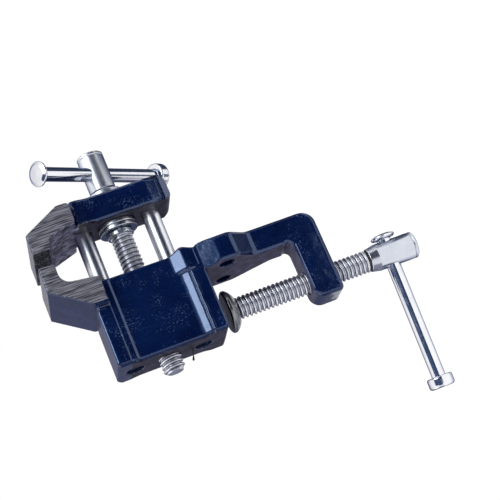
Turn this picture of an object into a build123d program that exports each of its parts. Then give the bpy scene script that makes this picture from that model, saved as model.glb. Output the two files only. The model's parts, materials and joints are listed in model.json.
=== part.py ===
from build123d import *
import math
import os

# Mini vise clamp, shown with the jaws slightly open. Millimetres, Z up.
# X runs along the jaw width, Y along the main screw with its handle toward -Y.
# Origin: the axis of the bench clamp screw meets the bench seat under the body.

# Screws and rods
screw_diameter = 6.35
rod_diameter = 5.0
rod_spacing = 19.6
running_clearance = 0.06
part_gap = 0.3

# Body block
seat_wall = 4.5
top_wall = 1.9
side_wall = 6.3
waist_depth = 1.2
low_ridge = 4.4
high_ridge = 3.6
body_length = 24.5
seat_reach = 6.3

# Jaws
jaw_width = 25.4
jaw_rise = 11.1
jaw_gap = 4.2
fixed_nose = 4.4
fixed_reach = 7.1
fixed_step = 1.3
fixed_foot = 7.1
fixed_heel = 4.0
fixed_top = 7.0
wing_drop = 3.3
moving_nose = 4.9
moving_nose_slope = 1.0
moving_nose_reach = 3.2
moving_top = 5.8
moving_recess = 5.0
wing_rise = 0.7
wing_heel = 3.4
wing_setback = 1.5
wing_overhang = 0.7
block_depth = 7.7
block_width = 15.6
block_foot = 6.7
block_foot_bevel = 2.8
block_heel_round = 2.4
block_shoulder = 1.2
block_crown = 5.6
block_crown_inset = 3.1

# Spine, screw ears and bench clamp leg
clamp_capacity = 25.9
leg_depth = 8.5
leg_reach = 6.2
spine_width = 10.2
spine_depth = 7.1
ear_width = 21.0
ear_proud = 0.5
ear_top = 1.2
ear_drop = 9.4
ear_taper = 5.6
far_ear_taper = 11.0
ear_runout = 2.5
ear_round = 3.4
ear_shoulder_round = 3.0
ear_hole_diameter = 4.6
ear_hole_spacing = 13.0
ear_hole_drop = 6.4

# Main screw with its collar, washers and clip
head_diameter = 7.6
collar_diameter = 10.2
collar_length = 1.6
collar_flare = 0.9
lead_head_length = 11.6
lead_bar_distance = 8.3
washer_diameter = 11.0
washer_thickness = 1.2
washer_clearance = 0.15
clip_diameter = 7.6
clip_thickness = 1.3
clip_opening = 1.3
groove_depth = 0.55
lead_protrusion = 4.4
rod_stop = 1.0
rod_socket = 6.2

# Bench clamp screw and its pad
pad_drop = 2.05
pad_diameter = 12.0
pad_rim = 1.1
pad_height = 2.9
pad_roof = 0.7
pad_skirt = 2.0
tip_diameter = 3.0
tip_length = 1.2
tip_neck_diameter = 2.0
clamp_thread_end = 44.2
undercut_width = 0.7
undercut_depth = 0.45
cone_length = 2.6
clamp_head_length = 11.7
clamp_bar_distance = 3.9

# Sliding handles
bar_diameter = 4.0
lead_bar_length = 48.2
clamp_bar_length = 45.8
knob_diameter = 7.4
knob_length = 3.3
bar_head_diameter = 7.0
bar_head_length = 1.7
bar_head_rim = 0.7
lead_bar_angle = 39.6
lead_bar_shift = -2.0
clamp_bar_angle = 9.1

# Edge treatment
casting_chamfer = 0.7
back_chamfer = 0.8
corner_round = 1.3
nose_round = 3.2
heel_round = 1.2
leg_corner_round = 3.8
leg_end_round = 1.4
leg_lip_round = 3.2
inner_corner_round = 1.8
block_corner_round = 2.6
edge_chamfer = 0.35
head_chamfer = 0.8
knob_chamfer = 0.5
machined_chamfer = 0.2
pick_tolerance = 0.01

# Proportions
cone_share = 0.86
dome_share = 0.6
dome_drop_share = 0.6
socket_share = 0.6

# Levels and planes that follow from the sizes above
rod_low_z = seat_wall + rod_diameter / 2
lead_z = rod_low_z + rod_spacing / 2
rod_high_z = rod_low_z + rod_spacing
body_top = rod_high_z + rod_diameter / 2 + top_wall
body_half = rod_diameter / 2 + side_wall
waist_half = body_half - waist_depth
body_back = seat_reach
body_front = seat_reach - body_length
jaw_top = body_top + jaw_rise
jaw_half = jaw_width / 2
fixed_grip = body_front - fixed_reach
moving_grip = fixed_grip - jaw_gap
block_back = moving_grip - moving_recess
block_front = block_back - block_depth
block_half = block_width / 2
wing_foot = body_top - wing_drop
block_low = rod_low_z - block_foot
leg_inner = -clamp_capacity
leg_outer = leg_inner - leg_depth
thread_radius = screw_diameter / 2
head_radius = head_diameter / 2
bore_radius = thread_radius + running_clearance
rod_bore_radius = rod_diameter / 2 + running_clearance
bar_hole_radius = bar_diameter / 2 + running_clearance

# Body block: a ridge along its foot and its top, with a slight waist between them
waist_low = low_ridge + 2 * waist_depth
waist_high = body_top - high_ridge - 2 * waist_depth
right_side = [
    (body_half, 0), (body_half, low_ridge), (waist_half, waist_low),
    (waist_half, waist_high), (body_half, body_top - high_ridge), (body_half, body_top),
]
left_side = [(-x, z) for x, z in reversed(right_side)]
with BuildPart() as block_blank:
    with BuildSketch(Plane.XZ.offset(-body_back)):
        with BuildLine():
            Polyline(*right_side, *left_side, close=True)
        make_face()
        outer_corners = vertices().group_by(Axis.Y)[0] + vertices().group_by(Axis.Y)[-1]
        fillet(outer_corners, radius=corner_round)
    extrude(amount=body_length)
    back_edges = faces().sort_by(Axis.Y)[-1].edges()
    chamfer(back_edges, length=back_chamfer)
    front_edges = faces().sort_by(Axis.Y)[0].edges()
    chamfer(front_edges, length=edge_chamfer)

# Fixed jaw, drawn from the side: nose, throat wall, heel and sloping outer face
with BuildPart() as jaw_blank:
    with BuildSketch(Plane.YZ):
        with BuildLine():
            Polyline(
                (fixed_grip, jaw_top), (fixed_grip, jaw_top - fixed_nose),
                (body_front - fixed_step, jaw_top - fixed_nose), (body_front, wing_foot),
                (body_front + fixed_foot, wing_foot), (body_front + fixed_foot, wing_foot + fixed_heel),
                (fixed_grip + fixed_top, jaw_top), close=True,
            )
        make_face()
        nose_level = jaw_top - fixed_nose
        throat_corner = vertices().filter_by_position(
            Axis.Y, nose_level - pick_tolerance, nose_level + pick_tolerance
        ).sort_by(Axis.X)[-1:]
        fillet(throat_corner, radius=nose_round)
    extrude(amount=jaw_half, both=True)
    jaw_sides = faces().filter_by(Axis.X).edges()
    chamfer(jaw_sides, length=machined_chamfer)

# Screw ears: the widened head of the spine, seen from the front. The far ear runs out lower.
ear_half = ear_width / 2
spine_half = spine_width / 2
spine_front = body_front - ear_proud
spine_back = spine_front + spine_depth
near_valley = -ear_drop - ear_taper
far_valley = -ear_drop - far_ear_taper
ear_foot = far_valley - ear_runout
with BuildPart() as ear_blank:
    with BuildSketch(Plane.XZ.offset(-spine_front)):
        with BuildLine():
            Polyline(
                (ear_half, ear_top), (ear_half, -ear_drop), (spine_half, far_valley),
                (spine_half, ear_foot), (-spine_half, ear_foot), (-spine_half, near_valley),
                (-ear_half, -ear_drop), (-ear_half, ear_top), close=True,
            )
        make_face()
        fillet(vertices().group_by(Axis.Y)[-1], radius=ear_round)
        for level in (-ear_drop, near_valley, far_valley):
            bends = vertices().filter_by_position(Axis.Y, level - pick_tolerance, level + pick_tolerance)
            fillet(bends, radius=ear_shoulder_round)
    extrude(amount=-spine_depth)
    ear_faces = faces().filter_by(Axis.Y).edges()
    chamfer(ear_faces, length=casting_chamfer)

# Spine and clamp leg, drawn from the side
with BuildPart() as spine_blank:
    with BuildSketch(Plane.YZ):
        with BuildLine():
            Polyline(
                (spine_front, seat_wall), (spine_front, leg_outer), (leg_reach, leg_outer),
                (leg_reach, leg_inner), (spine_back, leg_inner), (spine_back, seat_wall),
                close=True,
            )
        make_face()
        bottom_corners = vertices().group_by(Axis.Y)[0].sort_by(Axis.X)
        fillet(bottom_corners[0], radius=leg_corner_round)
        bottom_corners = vertices().group_by(Axis.Y)[0].sort_by(Axis.X)
        fillet(bottom_corners[-1], radius=leg_end_round)
        inner_corners = vertices().filter_by_position(
            Axis.Y, leg_inner - pick_tolerance, leg_inner + pick_tolerance
        ).sort_by(Axis.X)
        fillet(inner_corners[-1], radius=leg_lip_round)
        inner_corners = vertices().filter_by_position(
            Axis.Y, leg_inner - pick_tolerance, leg_inner + pick_tolerance
        ).sort_by(Axis.X)
        fillet(inner_corners[0], radius=inner_corner_round)
    extrude(amount=spine_half, both=True)
    spine_sides = faces().filter_by(Axis.X).edges()
    chamfer(spine_sides, length=casting_chamfer)

# The casting: all four shapes with their bores
with BuildPart() as body_casting:
    add(block_blank.part)
    add(jaw_blank.part)
    add(ear_blank.part)
    add(spine_blank.part)
    with BuildSketch(Plane.XZ.offset(-body_back)):
        with Locations((0, rod_low_z), (0, rod_high_z)):
            Circle(rod_bore_radius)
        with Locations((0, lead_z)):
            Circle(bore_radius)
    extrude(amount=body_length + fixed_reach, mode=Mode.SUBTRACT)
    with BuildSketch(Plane.XZ.offset(-spine_back)):
        with Locations((-ear_hole_spacing / 2, -ear_hole_drop), (ear_hole_spacing / 2, -ear_hole_drop)):
            Circle(ear_hole_diameter / 2)
    extrude(amount=spine_depth, mode=Mode.SUBTRACT)
    with BuildSketch(Plane.XY.offset(leg_outer)):
        Circle(bore_radius)
    extrude(amount=leg_depth, mode=Mode.SUBTRACT)

# Moving jaw: a cross block for the rods and screw, with the jaw wings on top
wing_low = wing_foot + wing_rise
with BuildPart() as cross_block:
    with BuildSketch(Plane.YZ):
        with BuildLine():
            Polyline(
                (block_front, block_low), (block_back, block_low), (block_back, wing_low + block_crown),
                (block_front + block_crown_inset, wing_low + block_crown),
                (block_front, wing_low + block_shoulder), close=True,
            )
        make_face()
        foot_corners = vertices().group_by(Axis.Y)[0].sort_by(Axis.X)
        fillet(foot_corners[0], radius=block_corner_round)
        foot_corners = vertices().group_by(Axis.Y)[0].sort_by(Axis.X)
        fillet(foot_corners[-1], radius=block_heel_round)
    extrude(amount=block_half, both=True)
    block_sides = faces().filter_by(Axis.X).edges()
    chamfer(block_sides, length=casting_chamfer)
    block_crest = wing_low + block_crown
    with BuildSketch(Plane.XZ.offset(-block_back)):
        with BuildLine():
            Polyline(
                (block_half, block_crest), (block_half, block_low), (-block_half, block_low),
                (-block_half, block_crest), close=True,
            )
        make_face()
        chamfer(vertices().group_by(Axis.Y)[0], length=block_foot_bevel)
    extrude(amount=block_depth, mode=Mode.INTERSECT)

wing_front = block_front + wing_setback
with BuildPart() as wing_blank:
    with BuildSketch(Plane.YZ):
        with BuildLine():
            Polyline(
                (moving_grip, jaw_top), (moving_grip, jaw_top - moving_nose),
                (moving_grip - moving_nose_reach, jaw_top - moving_nose - moving_nose_slope),
                (block_back - wing_overhang, wing_low), (wing_front, wing_low),
                (wing_front, wing_low + wing_heel), (moving_grip - moving_top, jaw_top), close=True,
            )
        make_face()
        outer_corners = vertices().sort_by(Axis.X)[:2]
        fillet(outer_corners, radius=heel_round)
    extrude(amount=jaw_half, both=True)
    wing_sides = faces().filter_by(Axis.X).edges()
    chamfer(wing_sides, length=machined_chamfer)

socket_end = block_back - rod_socket
with BuildPart() as moving_jaw:
    add(cross_block.part)
    add(wing_blank.part)
    with BuildSketch(Plane.XZ.offset(-block_back)):
        with Locations((0, rod_low_z), (0, rod_high_z)):
            Circle(rod_diameter / 2)
    extrude(amount=rod_socket, mode=Mode.SUBTRACT)
    with BuildSketch(Plane.XZ.offset(-block_back)):
        with Locations((0, lead_z)):
            Circle(bore_radius)
    extrude(amount=block_depth, mode=Mode.SUBTRACT)

# Main screw, turned about its own axis: positions run along Y, radii outward
stack_start = block_back
stack_end = stack_start + 2 * washer_thickness + washer_clearance
clip_end = stack_end + clip_thickness
collar_back = block_front - washer_clearance
collar_front = collar_back - collar_length
lead_end = body_back + lead_protrusion
head_end = collar_front - collar_flare - lead_head_length
groove_radius = thread_radius - groove_depth
lead_profile = [
    (lead_end, 0), (lead_end, thread_radius - edge_chamfer), (lead_end - edge_chamfer, thread_radius),
    (clip_end, thread_radius), (clip_end, groove_radius), (stack_end, groove_radius),
    (stack_end, thread_radius), (collar_back, thread_radius), (collar_back, collar_diameter / 2),
    (collar_front, collar_diameter / 2), (collar_front - collar_flare, head_radius),
    (head_end + head_chamfer, head_radius), (head_end, head_radius - head_chamfer / 2), (head_end, 0),
]
lead_bar_y = block_front - lead_bar_distance
lead_tilt = math.radians(lead_bar_angle)
lead_bar_direction = (-math.sin(lead_tilt), 0, math.cos(lead_tilt))
lead_bar_plane = Plane(origin=(0, lead_bar_y, lead_z), x_dir=(0, 1, 0), z_dir=lead_bar_direction)
with BuildPart() as lead_screw:
    with BuildSketch(Plane(origin=(0, 0, lead_z), x_dir=(0, 1, 0), z_dir=(1, 0, 0))):
        with BuildLine():
            Polyline(*lead_profile, close=True)
        make_face()
    revolve(axis=Axis((0, 0, lead_z), (0, 1, 0)))
    with BuildSketch(lead_bar_plane):
        Circle(bar_hole_radius)
    extrude(amount=head_diameter, both=True, mode=Mode.SUBTRACT)

# Bench clamp screw, turned about Z: radii outward, heights up
pad_face = -pad_drop
pad_bottom = pad_face - pad_height
cavity_top = pad_face - pad_roof
tip_top = cavity_top - running_clearance
tip_foot = tip_top - tip_length
cavity_foot = tip_foot - running_clearance
tip_radius = tip_diameter / 2
cavity_radius = tip_radius + running_clearance
neck_radius = tip_neck_diameter / 2
mouth_radius = neck_radius + running_clearance
thread_top = pad_bottom - part_gap
undercut_end = -clamp_thread_end - undercut_width
cone_end = undercut_end - cone_length
clamp_head_end = cone_end - clamp_head_length
clamp_profile = [
    (0, tip_top), (tip_radius - edge_chamfer, tip_top), (tip_radius, tip_top - edge_chamfer),
    (tip_radius, tip_foot), (neck_radius, tip_foot), (neck_radius, thread_top),
    (thread_radius - edge_chamfer, thread_top),
    (thread_radius, thread_top - edge_chamfer), (thread_radius, -clamp_thread_end),
    (thread_radius - undercut_depth, -clamp_thread_end), (thread_radius - undercut_depth, undercut_end),
    (cone_share * head_radius, undercut_end), (head_radius, cone_end),
    (head_radius, clamp_head_end + head_chamfer), (head_radius - head_chamfer, clamp_head_end),
    (0, clamp_head_end),
]
clamp_bar_z = cone_end - clamp_bar_distance
clamp_turn = math.radians(clamp_bar_angle)
clamp_bar_direction = (math.sin(clamp_turn), math.cos(clamp_turn), 0)
clamp_bar_plane = Plane(origin=(0, 0, clamp_bar_z), x_dir=(0, 0, 1), z_dir=clamp_bar_direction)
with BuildPart() as clamp_screw:
    with BuildSketch(Plane.XZ):
        with BuildLine():
            Polyline(*clamp_profile, close=True)
        make_face()
    revolve(axis=Axis.Z)
    with BuildSketch(clamp_bar_plane):
        Circle(bar_hole_radius)
    extrude(amount=head_diameter, both=True, mode=Mode.SUBTRACT)

# Swivel pad, closed around the tip of the screw
pad_radius = pad_diameter / 2
skirt_radius = pad_radius - pad_skirt
rim_bottom = pad_face - pad_rim
dome_radius = skirt_radius + dome_share * pad_skirt
dome_height = rim_bottom + dome_drop_share * (pad_bottom - rim_bottom)
pad_profile = [
    (0, cavity_top), (0, pad_face), (pad_radius - edge_chamfer, pad_face),
    (pad_radius, pad_face - edge_chamfer), (pad_radius, rim_bottom), (dome_radius, dome_height),
    (skirt_radius, pad_bottom), (mouth_radius, pad_bottom), (mouth_radius, cavity_foot),
    (cavity_radius, cavity_foot), (cavity_radius, cavity_top),
]
with BuildPart() as clamp_pad:
    with BuildSketch(Plane.XZ):
        with BuildLine():
            Polyline(*pad_profile, close=True)
        make_face()
    revolve(axis=Axis.Z)

pieces = {
    "body_casting": body_casting.part,
    "moving_jaw": moving_jaw.part,
    "lead_screw": lead_screw.part,
    "clamp_screw": clamp_screw.part,
    "clamp_pad": clamp_pad.part,
}

# Guide rods, from the bottom of their sockets to just inside the back of the body
rod_length = body_back - rod_stop - socket_end
for name, rod_z in (("guide_rod_upper", rod_high_z), ("guide_rod_lower", rod_low_z)):
    with BuildPart() as guide_rod:
        with BuildSketch(Plane.XZ.offset(-(body_back - rod_stop))):
            with Locations((0, rod_z)):
                Circle(rod_diameter / 2)
        extrude(amount=rod_length)
        rod_tip = edges().filter_by(GeomType.CIRCLE).sort_by(Axis.Y)[-1]
        chamfer(rod_tip, length=edge_chamfer)
    pieces[name] = guide_rod.part

# Thrust washers behind the moving jaw
washer_bore = thread_radius + running_clearance
for index, name in enumerate(("thrust_washer_front", "thrust_washer_rear")):
    washer_y = stack_start + index * washer_thickness
    with BuildPart() as washer:
        with BuildSketch(Plane.XZ.offset(-washer_y - washer_thickness)):
            with Locations((0, lead_z)):
                Circle(washer_diameter / 2)
                Circle(washer_bore, mode=Mode.SUBTRACT)
        extrude(amount=washer_thickness)
        washer_rim = edges().filter_by(GeomType.CIRCLE).group_by(SortBy.RADIUS)[-1]
        chamfer(washer_rim, length=machined_chamfer)
    pieces[name] = washer.part

# Retaining clip: a split ring in the groove of the main screw
with BuildPart() as retaining_clip:
    with BuildSketch(Plane.XZ.offset(-clip_end)):
        with Locations((0, lead_z)):
            Circle(clip_diameter / 2)
            Circle(groove_radius, mode=Mode.SUBTRACT)
        with Locations((-clip_diameter / 2, lead_z)):
            Rectangle(clip_diameter, clip_opening, mode=Mode.SUBTRACT)
    extrude(amount=clip_thickness)
pieces["retaining_clip"] = retaining_clip.part

# Sliding handles: a bar with a formed head at one end and a pressed knob at the other
knob_socket = socket_share * knob_length
clamp_bar_shift = clamp_bar_length / 2 - bar_head_length - head_radius - part_gap
handles = (
    ("lead_handle_bar", "lead_handle_knob", lead_bar_plane, 1, lead_bar_shift, lead_bar_length),
    ("clamp_handle_bar", "clamp_handle_knob", clamp_bar_plane, -1, clamp_bar_shift, clamp_bar_length),
)
for bar_name, knob_name, bar_plane, head_side, bar_shift, bar_length in handles:
    bar_end = bar_length / 2 - knob_length + knob_socket
    head_under = bar_length / 2 - bar_head_length
    centre = bar_plane.offset(bar_shift)
    along = Plane(origin=centre.origin, x_dir=centre.z_dir * head_side, z_dir=centre.x_dir)
    with BuildPart() as handle_bar:
        with BuildSketch(along):
            with BuildLine():
                Polyline(
                    (-bar_end, 0), (-bar_end, bar_diameter / 2 - edge_chamfer),
                    (edge_chamfer - bar_end, bar_diameter / 2), (head_under, bar_diameter / 2),
                    (bar_length / 2 - bar_head_rim, bar_head_diameter / 2),
                    (bar_length / 2 - edge_chamfer, bar_head_diameter / 2),
                    (bar_length / 2, bar_head_diameter / 2 - edge_chamfer), (bar_length / 2, 0),
                    close=True,
                )
            make_face()
        revolve(axis=Axis(centre.origin, centre.z_dir))
    pieces[bar_name] = handle_bar.part
    with BuildPart() as knob:
        with BuildSketch(centre.offset(-head_side * bar_length / 2)):
            Circle(knob_diameter / 2)
        extrude(amount=head_side * knob_length)
        knob_edges = edges().filter_by(GeomType.CIRCLE)
        chamfer(knob_edges, length=knob_chamfer)
        with BuildSketch(centre.offset(-head_side * bar_end)):
            Circle(bar_diameter / 2)
        extrude(amount=head_side * knob_socket, mode=Mode.SUBTRACT)
    pieces[knob_name] = knob.part

# Write each piece on its own
os.makedirs("parts", exist_ok=True)
for name, piece in pieces.items():
    piece.label = name
    export_step(piece, "parts/" + name + ".step")
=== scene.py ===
import bpy
import json
import math
import numpy as np
from mathutils import Matrix, Vector, noise


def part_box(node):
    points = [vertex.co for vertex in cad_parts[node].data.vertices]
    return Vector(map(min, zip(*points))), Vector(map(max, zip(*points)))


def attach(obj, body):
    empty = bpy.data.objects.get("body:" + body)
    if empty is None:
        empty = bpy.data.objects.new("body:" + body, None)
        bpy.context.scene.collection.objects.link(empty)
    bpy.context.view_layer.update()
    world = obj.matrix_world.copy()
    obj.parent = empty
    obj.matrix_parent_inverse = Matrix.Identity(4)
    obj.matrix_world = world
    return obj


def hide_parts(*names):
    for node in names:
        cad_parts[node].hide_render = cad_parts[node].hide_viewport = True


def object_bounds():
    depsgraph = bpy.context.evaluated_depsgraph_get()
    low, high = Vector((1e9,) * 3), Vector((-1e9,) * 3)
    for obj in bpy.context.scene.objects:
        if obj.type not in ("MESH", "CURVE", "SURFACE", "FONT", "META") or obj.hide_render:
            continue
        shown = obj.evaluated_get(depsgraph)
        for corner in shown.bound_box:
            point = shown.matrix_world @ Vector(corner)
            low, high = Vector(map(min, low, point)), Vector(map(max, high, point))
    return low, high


# Looks of the mini vise clamp. Metres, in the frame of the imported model.
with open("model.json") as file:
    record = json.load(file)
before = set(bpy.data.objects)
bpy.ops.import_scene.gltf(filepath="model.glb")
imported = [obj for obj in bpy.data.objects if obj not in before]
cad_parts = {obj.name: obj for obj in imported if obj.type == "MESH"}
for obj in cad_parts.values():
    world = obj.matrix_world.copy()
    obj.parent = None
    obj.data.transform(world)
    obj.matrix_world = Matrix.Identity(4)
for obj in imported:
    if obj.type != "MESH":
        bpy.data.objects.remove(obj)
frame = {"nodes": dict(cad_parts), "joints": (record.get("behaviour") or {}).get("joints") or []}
cad_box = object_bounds()
nodes = frame["nodes"]
joints = {joint["name"]: joint for joint in frame["joints"]}
joint_axes = {name: Vector(joint["axis"]).normalized() for name, joint in joints.items()}
MM = 0.001

# Main sizes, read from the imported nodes
screw_low, screw_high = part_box("clamp_screw")
lead_low, lead_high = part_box("lead_screw")
jaw_low, jaw_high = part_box("moving_jaw")
body_low, body_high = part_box("body_casting")
upper_low, upper_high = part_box("guide_rod_upper")
lower_low, lower_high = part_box("guide_rod_lower")
clip_low, clip_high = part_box("retaining_clip")
pad_low, pad_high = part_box("clamp_pad")
washers_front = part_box("thrust_washer_front")[0].y
rod_radius = (upper_high.z - upper_low.z) / 2
upper_rod_z = (upper_low.z + upper_high.z) / 2
lower_rod_z = (lower_low.z + lower_high.z) / 2
lead_z = (lead_low.z + lead_high.z) / 2
jaw_half = jaw_high.x
jaw_top = jaw_high.z
thread_diameter = 6.35 * MM
thread_radius = thread_diameter / 2
thread_pitch = 1.27 * MM
thread_depth = 0.62 * MM

# Axes of the two screws, and a reach past every piece
lead_origin = (0, 0, lead_z)
clamp_origin = (0, 0, 0)
along_y, along_z = (0, 1, 0), (0, 0, 1)
far = 0.2


# Mesh helpers

def linked(name, data):
    """A new object in the scene."""
    thing = bpy.data.objects.new(name, data)
    bpy.context.scene.collection.objects.link(thing)
    return thing


def new_object(name, mesh, body, node):
    piece = linked(name, mesh)
    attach(piece, body)
    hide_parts(node)
    return piece


def smooth(mesh):
    mesh.polygons.foreach_set("use_smooth", [True] * len(mesh.polygons))
    mesh.update()


def smooth_mesh(name, points, faces):
    mesh = bpy.data.meshes.new(name)
    mesh.from_pydata([tuple(p) for p in points], [], faces)
    smooth(mesh)
    return mesh


def rows_of(items, name):
    """A vector value of every vertex or face, one row each."""
    values = np.zeros(len(items) * 3)
    items.foreach_get(name, values)
    return values.reshape(-1, 3)


def within(points, low, high):
    """Which points lie inside a box."""
    return np.all((points > np.array(low)) & (points < np.array(high)), axis=1)


def node_points(node):
    return rows_of(nodes[node].data.vertices, "co")


def about_axis(points, origin, axis):
    """The places of points along an axis, and their distances from it."""
    rel = points - np.array(origin)
    along = rel @ np.array(axis)
    return along, np.linalg.norm(rel - np.outer(along, np.array(axis)), axis=1)


def span_along(node, origin, axis):
    """Lowest and highest place of a node along an axis, and its largest radius about it."""
    along, radial = about_axis(node_points(node), origin, axis)
    return along.min(), along.max(), radial.max()


def rounded(profile, radius_by_corner, steps=6):
    """A turned outline with its corners rounded: points are (along, radius), corners are indices."""
    longest_share = 0.49
    out = []
    last = len(profile) - 1
    for i, corner in enumerate(profile):
        radius = radius_by_corner.get(i, 0)
        if radius == 0 or i in (0, last):
            out.append(corner)
            continue
        here = Vector(corner)
        before = Vector(profile[i - 1]) - here
        after = Vector(profile[i + 1]) - here
        half_angle = before.angle(after) / 2
        longest = min(before.length, after.length) * longest_share
        cut = min(radius / math.tan(half_angle), longest)
        start = here + before.normalized() * cut
        end = here + after.normalized() * cut
        for k in range(steps + 1):
            t = k / steps
            point = start * (1 - t) ** 2 + here * 2 * t * (1 - t) + end * t ** 2
            out.append((point.x, point.y))
    return out


def supported(outline):
    """Adds a point near each end of every long stretch, for true shading."""
    margin = 0.04 * MM
    long_stretch = 6 * margin
    out = [outline[0]]
    for first, last in zip(outline, outline[1:]):
        start, end = Vector(first), Vector(last)
        length = (end - start).length
        if length > long_stretch:
            step = (end - start) * (margin / length)
            out += [tuple(start + step), tuple(end - step)]
        out.append(last)
    return out


def turned_mesh(name, outline, origin, axis, sides=96, radius_of=None):
    """A closed solid of revolution. radius_of(along, turn, radius) may change a radius, as for a thread."""
    outline = supported(outline)
    axis = Vector(axis).normalized()
    helper = Vector((1, 0, 0)) if abs(axis.x) < 0.9 else Vector((0, 1, 0))
    side = (helper - axis * helper.dot(axis)).normalized()
    other = axis.cross(side)
    origin = Vector(origin)
    rings = [point for point in outline if point[1] > 1e-9]
    points, faces = [], []
    for along, radius in rings:
        for k in range(sides):
            turn = 2 * math.pi * k / sides
            r = radius_of(along, turn, radius) if radius_of else radius
            points.append(origin + axis * along + (side * math.cos(turn) + other * math.sin(turn)) * r)
    for i in range(len(rings) - 1):
        for k in range(sides):
            n = (k + 1) % sides
            faces.append((i * sides + k, i * sides + n, (i + 1) * sides + n, (i + 1) * sides + k))
    first = len(points)
    points.append(origin + axis * outline[0][0])
    points.append(origin + axis * outline[-1][0])
    last_ring = (len(rings) - 1) * sides
    for k in range(sides):
        n = (k + 1) % sides
        faces.append((first, n, k))
        faces.append((first + 1, last_ring + k, last_ring + n))
    mesh = smooth_mesh(name, points, faces)
    if outline[0][0] < outline[-1][0]:
        mesh.flip_normals()
    return mesh


def applied(piece):
    """Applies the modifiers of a piece and leaves one plain mesh."""
    graph = bpy.context.evaluated_depsgraph_get()
    mesh = bpy.data.meshes.new_from_object(piece.evaluated_get(graph))
    piece.modifiers.clear()
    piece.data = mesh
    return mesh


# Material helpers

def feed(tree, socket, value):
    """Sets a socket to a number or a colour, or links an output to it."""
    if isinstance(value, bpy.types.NodeSocket):
        tree.links.new(value, socket)
    else:
        socket.default_value = (*value, 1) if isinstance(value, tuple) else value


def fill(node, **values):
    """Sets inputs of a node by name, with _ for a space."""
    for key, value in values.items():
        node.inputs[key.replace("_", " ")].default_value = value


def calculate(tree, operation, first, second):
    node = tree.nodes.new("ShaderNodeMath")
    node.operation = operation
    feed(tree, node.inputs[0], first)
    feed(tree, node.inputs[1], second)
    return node.outputs[0]


class Shader:
    """A small node tree builder around one Principled shader."""

    def __init__(self, name):
        self.material = bpy.data.materials.new(name)
        self.material.use_nodes = True
        self.tree = self.material.node_tree
        self.main = self.tree.nodes["Principled BSDF"]
        self.place = self.add("ShaderNodeTexCoord").outputs["Object"]

    def add(self, kind, **values):
        node = self.tree.nodes.new(kind)
        for key, value in values.items():
            setattr(node, key, value)
        return node

    def link(self, source, target):
        self.tree.links.new(source, target)

    def set(self, **values):
        fill(self.main, **values)

    def stretched(self, scale):
        node = self.add("ShaderNodeVectorMath", operation="MULTIPLY")
        self.link(self.place, node.inputs[0])
        node.inputs[1].default_value = scale
        return node.outputs[0]

    def noise(self, scale, detail=4, roughness=0.6, place=None):
        node = self.add("ShaderNodeTexNoise")
        self.link(place or self.place, node.inputs["Vector"])
        fill(node, Scale=scale, Detail=detail, Roughness=roughness)
        return node.outputs["Fac"]

    def spread(self, value, low, high, to_low=0, to_high=1):
        node = self.add("ShaderNodeMapRange")
        self.link(value, node.inputs["Value"])
        fill(node, From_Min=low, From_Max=high, To_Min=to_low, To_Max=to_high)
        return node.outputs["Result"]

    def math(self, operation, first, second):
        return calculate(self.tree, operation, first, second)

    def blend(self, first, second, share):
        """The weighted mean of two values; share is the first one's weight."""
        parts = (self.math("MULTIPLY", first, share), self.math("MULTIPLY", second, 1 - share))
        return self.math("ADD", *parts)

    def mix(self, factor, first, second):
        node = self.add("ShaderNodeMix", data_type="RGBA")
        for index, value in ((0, factor), (6, first), (7, second)):
            feed(self.tree, node.inputs[index], value)
        return node.outputs[2]

    def bump(self, height, strength, distance, normal=None):
        node = self.add("ShaderNodeBump")
        fill(node, Strength=strength, Distance=distance)
        self.link(height, node.inputs["Height"])
        if normal is not None:
            self.link(normal, node.inputs["Normal"])
        return node.outputs["Normal"]

    def stored(self, name):
        """A value stored on the mesh's points."""
        return self.add("ShaderNodeAttribute", attribute_name=name).outputs["Fac"]

    def grazing(self, start, end):
        """0 where the surface faces the viewer, 1 at its outline."""
        node = self.add("ShaderNodeLayerWeight")
        fill(node, Blend=0.5)
        return self.spread(node.outputs["Facing"], start, end)

    def finish(self, color=None, roughness=None, normal=None):
        for name, value in (("Base Color", color), ("Roughness", roughness), ("Normal", normal)):
            if value is not None:
                self.link(value, self.main.inputs[name])
        return self.material


# Materials

def enamel():
    """Glossy navy enamel with dust, worn edges, and painted shade with some soiling darkening the hollows
    of the casting.
    """
    s = Shader("navy_enamel")
    deep, clear, speck = (0.0004, 0.004, 0.036), (0.0016, 0.012, 0.07), (0.1, 0.17, 0.34)
    bare, hollow_shade_and_dirt = (0.3, 0.33, 0.44), (0.001, 0.0012, 0.004)
    patches = s.noise(95)
    grain = s.noise(2600, 2, 0.7)
    base = s.mix(s.spread(s.blend(patches, grain, 0.6), 0.38, 0.66), deep, clear)
    fine = s.noise(2100, 2, 0.6)
    zone = s.noise(120, 4, 0.7)
    dust = s.math("MULTIPLY", s.spread(fine, 0.55, 0.72), s.spread(zone, 0.5, 0.66, 0.04, 1))
    color = s.mix(dust, base, speck)
    edge = s.stored("edge")
    worn = s.spread(s.noise(1500, 3, 0.7), 0.54, 0.66)
    wear = s.math("MULTIPLY", s.spread(edge, 0.15, 0.8), worn)
    color = s.mix(s.math("MULTIPLY", wear, 0.35), color, bare)
    s.link(s.spread(edge, 0.05, 0.6, 1, 0.35), s.main.inputs["Specular IOR Level"])
    # Painted shade with some soiling: the colour darkens in the concave hollows.
    color = s.mix(s.spread(s.stored("hollow"), 0.25, 0.8, 0, 0.85), color, hollow_shade_and_dirt)
    peel = s.noise(1100, 3, 0.55)
    waves = s.noise(230, 2, 0.5)
    normal = s.bump(peel, 0.22, 0.00005)
    normal = s.bump(waves, 0.35, 0.0002, normal)
    roughness = s.spread(s.noise(420), 0.3, 0.7, 0.08, 0.18)
    s.set(IOR=1.6, Specular_Tint=(0.5, 0.66, 1, 1))
    return s.finish(color, roughness, normal)


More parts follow.
